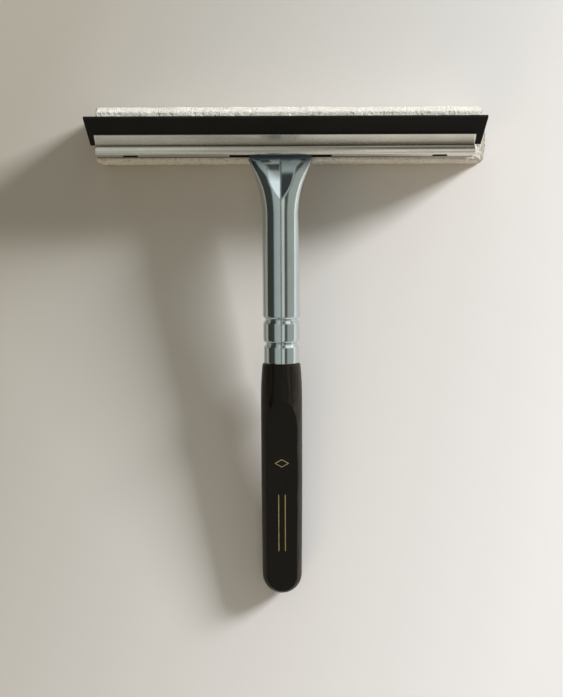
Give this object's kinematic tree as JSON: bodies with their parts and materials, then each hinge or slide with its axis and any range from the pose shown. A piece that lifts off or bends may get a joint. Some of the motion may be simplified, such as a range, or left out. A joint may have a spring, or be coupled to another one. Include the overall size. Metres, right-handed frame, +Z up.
{
  "type": "window squeegee",
  "caption": "Window squeegee: rubber blade in a folded steel head, sponge in a channel behind it, rolled steel stem pressed into a dented flat fan, and a black grip with flats.",
  "frame": {"origin": "on the table, under the middle of the tool's bounding box as it lies on its sponge and grip", "axes": "+Y from the grip towards the blade, +X along the blade, +Z up from the table"},
  "size_m": [0.2138, 0.271, 0.0549],
  "materials": {
    "zinc_sheet": "satin",
    "zinc_tube": "polished",
    "rivet_steel": "satin",
    "black_rubber": "matte",
    "backing_plastic": "matte",
    "sponge_foam": "matte",
    "grip_black": "satin"
  },
  "bodies": {
    "tool": {"head_shell": "zinc_sheet", "blade_seat": "zinc_sheet", "sponge_channel": "zinc_sheet", "seat_rivets": "rivet_steel", "stem_rivets": "rivet_steel", "stem_tube": "zinc_tube", "grip": "grip_black"},
    "blade": {"rubber_blade": "black_rubber"},
    "sponge": {"sponge_backing": "backing_plastic", "sponge_pad": "sponge_foam"}
  },
  "joints": [
    {"name": "blade_slide", "type": "slide", "parent": "tool", "child": "blade", "axis": [1, 0, 0], "range_m": [-0.206, 0.206]},
    {"name": "sponge_slide", "type": "slide", "parent": "tool", "child": "sponge", "axis": [1, 0, 0], "range_m": [-0.204, 0.2]}
  ]
}
